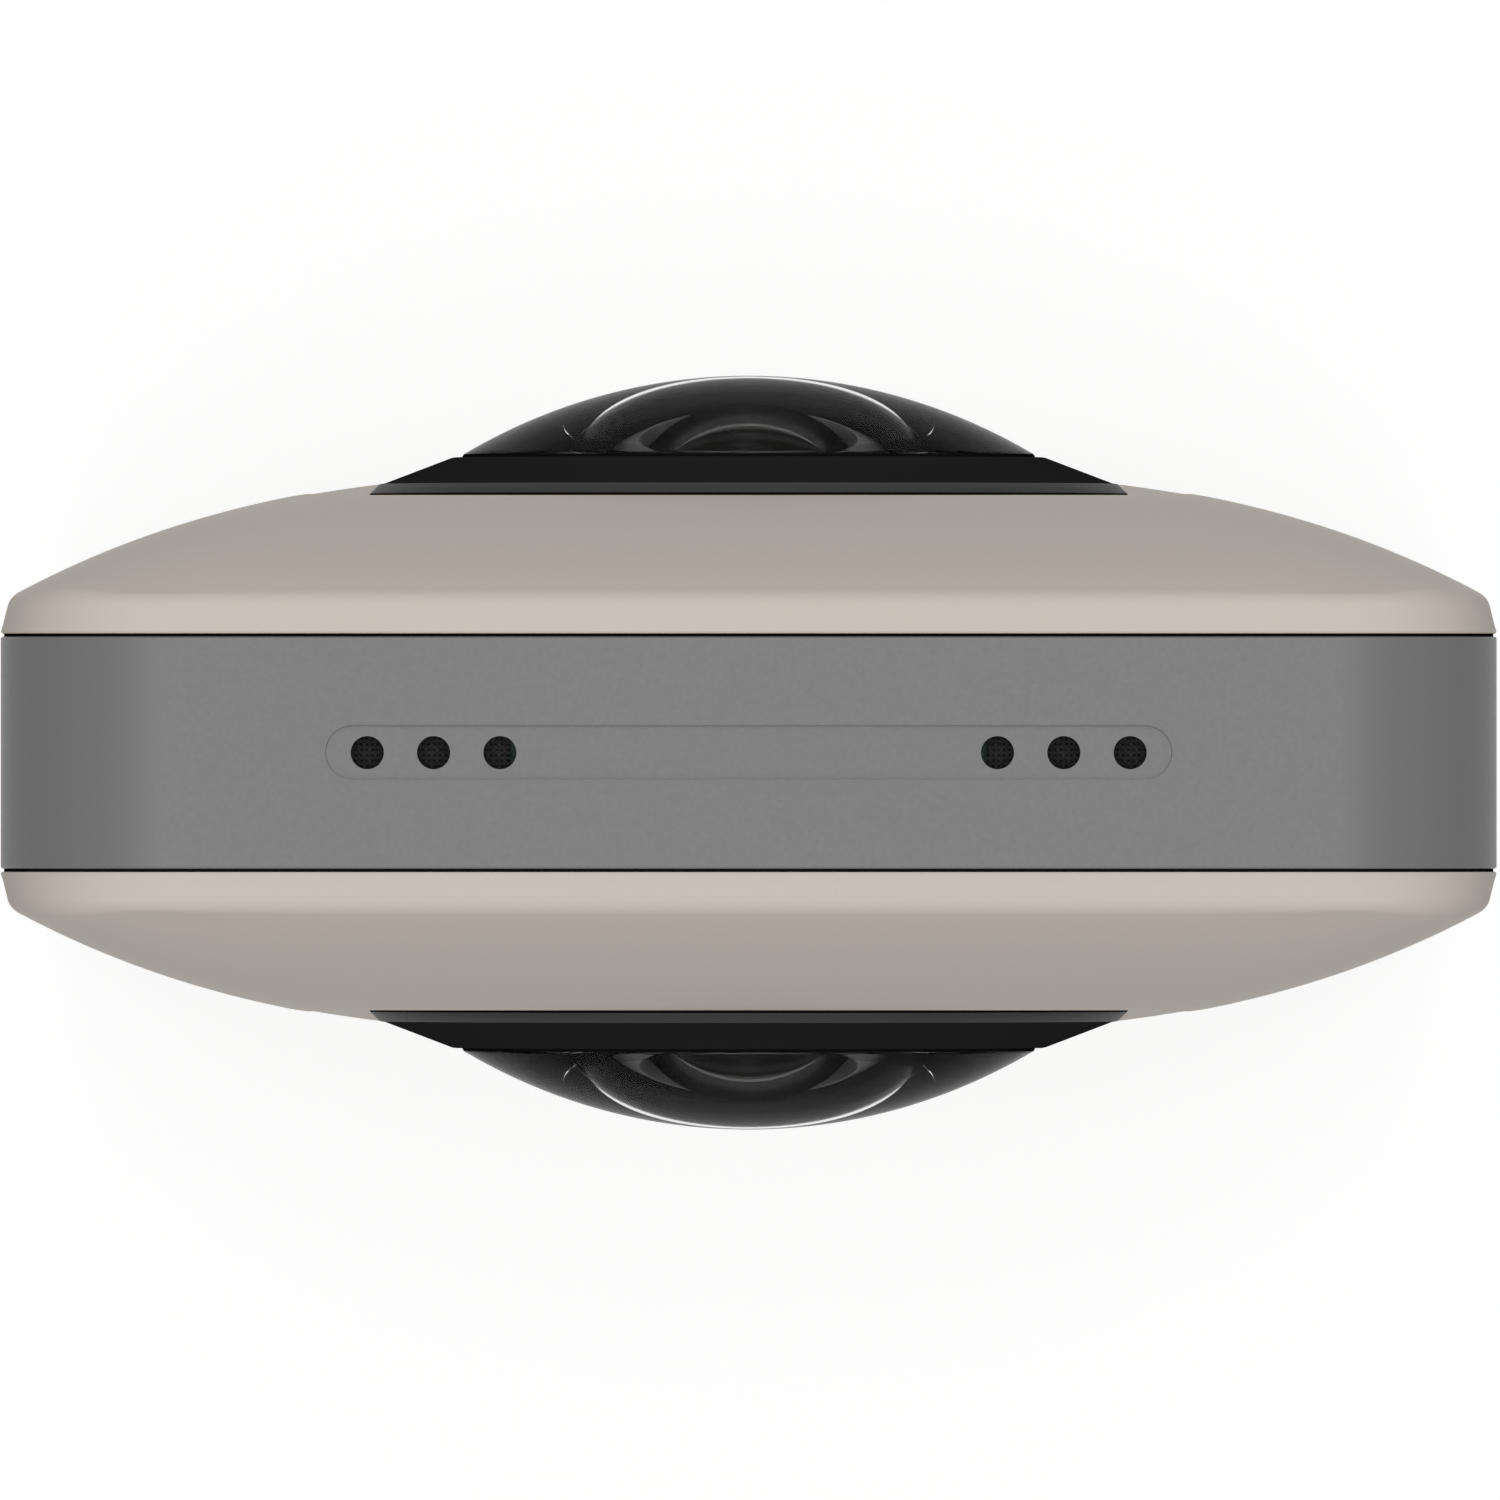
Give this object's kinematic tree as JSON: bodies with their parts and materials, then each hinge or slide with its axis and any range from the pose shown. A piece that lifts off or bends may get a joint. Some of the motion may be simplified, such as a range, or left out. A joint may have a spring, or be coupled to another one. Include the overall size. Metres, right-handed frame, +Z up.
{
  "type": "two-lens 360 degree camera",
  "caption": "Slim upright camera body with a fisheye dome lens on the front and back, side keys, a shutter button, a display window, sound holes and a tripod socket in the base.",
  "frame": {"origin": "under the middle of the base, on the surface that the camera stands on", "axes": "+Z up along the body, -Y out of the front face with the shutter button, +X to the side with the keys"},
  "size_m": [0.0452, 0.023, 0.1306],
  "materials": {
    "band_grey": "satin neutral grey moulding",
    "cover_beige": "smooth matt pale beige moulding",
    "frame_alloy": "as-cast light alloy",
    "block_alloy": "black anodised light alloy",
    "ring_black": "satin black anodised",
    "dome_glass": "polished coated optical glass",
    "lens_glass": "polished optical glass",
    "matte_black": "matt black, stops stray light",
    "retainer_grey": "bead blasted grey",
    "key_grey": "satin grey moulding",
    "switch_steel": "stamped bright steel",
    "board_green": "green solder mask",
    "shield_tin": "tinned sheet",
    "chip_black": "moulded black epoxy",
    "connector_ivory": "ivory moulding",
    "battery_wrap": "foil pouch",
    "tape_white": "foam tape",
    "display_black": "glossy smoked window",
    "panel_glass": "display glass",
    "lamp_clear": "milky light pipe",
    "mesh_black": "woven black acoustic mesh",
    "socket_metal": "turned steel",
    "ribbon_amber": "amber film",
    "screw_steel": "bright plated steel"
  },
  "bodies": {
    "camera": {"side_band": "band_grey", "front_cover": "cover_beige", "rear_cover": "cover_beige", "inner_frame": "frame_alloy", "lens_block": "block_alloy", "prism_mask": "matte_black", "front_lens_ring": "ring_black", "front_dome_lens": "dome_glass", "front_lens_barrel": "matte_black", "front_lens_retainer": "retainer_grey", "front_second_lens": "lens_glass", "front_third_lens": "lens_glass", "front_prism": "lens_glass", "front_relay_barrel": "matte_black", "front_relay_lenses": "lens_glass", "front_sensor": "chip_black", "front_sensor_board": "board_green", "front_sensor_ribbon": "ribbon_amber", "rear_lens_ring": "ring_black", "rear_dome_lens": "dome_glass", "rear_lens_barrel": "matte_black", "rear_lens_retainer": "retainer_grey", "rear_second_lens": "lens_glass", "rear_third_lens": "lens_glass", "rear_prism": "lens_glass", "rear_relay_barrel": "matte_black", "rear_relay_lenses": "lens_glass", "rear_sensor": "chip_black", "rear_sensor_board": "board_green", "rear_sensor_ribbon": "ribbon_amber", "shutter_switch": "switch_steel", "key_switches": "switch_steel", "key_board": "board_green", "main_board": "board_green", "processor_shield": "shield_tin", "wireless_module": "shield_tin", "board_chips": "chip_black", "board_connectors": "connector_ivory", "battery": "battery_wrap", "battery_tape": "tape_white", "display_window": "display_black", "display_panel": "panel_glass", "status_lamp": "lamp_clear", "sound_meshes": "mesh_black", "microphone": "switch_steel", "speaker": "chip_black", "sound_board": "board_green", "tripod_socket": "socket_metal", "usb_socket": "switch_steel", "usb_tongue": "matte_black", "port_board": "board_green", "cover_screws": "screw_steel", "lens_block_screws": "screw_steel", "board_screws": "screw_steel", "tripod_screws": "screw_steel"},
    "shutter": {"shutter_button": "key_grey"},
    "power": {"power_key": "key_grey"},
    "wireless": {"wireless_key": "key_grey"},
    "mode": {"mode_key": "key_grey"},
    "timer": {"timer_key": "key_grey"}
  },
  "joints": [
    {"name": "shutter_press", "type": "slide", "parent": "camera", "child": "shutter", "axis": [0, 1, 0], "range_m": [0, 0.0005], "stiffness_N_per_m": 800, "springref_m": -0.0005},
    {"name": "power_press", "type": "slide", "parent": "camera", "child": "power", "axis": [-1, 0, 0], "range_m": [0, 0.0003], "stiffness_N_per_m": 800, "springref_m": -0.0005},
    {"name": "wireless_press", "type": "slide", "parent": "camera", "child": "wireless", "axis": [-1, 0, 0], "range_m": [0, 0.0003], "stiffness_N_per_m": 800, "springref_m": -0.0005},
    {"name": "mode_press", "type": "slide", "parent": "camera", "child": "mode", "axis": [-1, 0, 0], "range_m": [0, 0.0003], "stiffness_N_per_m": 800, "springref_m": -0.0005},
    {"name": "timer_press", "type": "slide", "parent": "camera", "child": "timer", "axis": [-1, 0, 0], "range_m": [0, 0.0003], "stiffness_N_per_m": 800, "springref_m": -0.0005}
  ]
}
